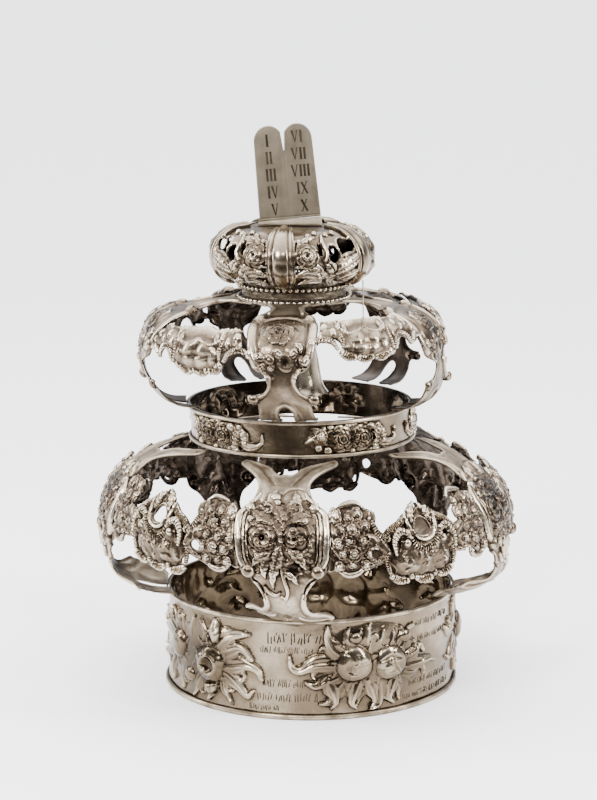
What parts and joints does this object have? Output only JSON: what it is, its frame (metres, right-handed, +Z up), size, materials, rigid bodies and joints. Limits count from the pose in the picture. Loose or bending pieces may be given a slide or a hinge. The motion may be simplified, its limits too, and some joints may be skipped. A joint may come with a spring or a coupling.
{
  "type": "torah crown",
  "caption": "Silver crown for a pair of scroll staves: a broad band, an open dome of staves and garlands, a second band and dome, a cushion-shaped crown and twin law tablets.",
  "frame": {"origin": "on the floor, below the middle of the crown's outline; the base band's axis is 2.6 mm to the right of it, as the upper parts lean left", "axes": "+Z up, -Y towards the front stave's side, from which the tablets' numbers are read"},
  "size_m": [0.2835, 0.2834, 0.3825],
  "materials": {
    "worked_silver": "tarnished silver worked in relief, bright on the high places and brown in the hollows",
    "plain_silver": "plain tarnished silver",
    "dark_silver": "silver darkened nearly black in its hollows",
    "brushed_silver": "matt silver with fine brush lines"
  },
  "bodies": {
    "root": {"base_band": "worked_silver", "base_foot_rim": "plain_silver", "base_top_rim": "plain_silver", "middle_band": "worked_silver", "middle_foot_rim": "plain_silver", "middle_top_rim": "plain_silver", "lower_stave_1": "worked_silver", "lower_garland_1": "worked_silver", "upper_stave_1": "worked_silver", "upper_garland_1": "worked_silver", "lower_stave_2": "worked_silver", "lower_garland_2": "worked_silver", "upper_stave_2": "worked_silver", "upper_garland_2": "worked_silver", "lower_stave_3": "worked_silver", "lower_garland_3": "worked_silver", "upper_stave_3": "worked_silver", "upper_garland_3": "worked_silver", "lower_stave_4": "worked_silver", "lower_garland_4": "worked_silver", "upper_stave_4": "worked_silver", "upper_garland_4": "worked_silver", "lower_stave_5": "worked_silver", "lower_garland_5": "worked_silver", "upper_stave_5": "worked_silver", "upper_garland_5": "worked_silver", "neck_collar": "dark_silver", "neck_beads_lower": "dark_silver", "neck_beads_upper": "dark_silver", "cushion_crown": "worked_silver", "cushion_cap": "plain_silver", "law_tablets": "brushed_silver", "tablets_foot": "brushed_silver", "bell": "plain_silver", "bell_clapper": "plain_silver", "bell_wire": "plain_silver", "pendant_wire": "plain_silver"}
  },
  "joints": []
}
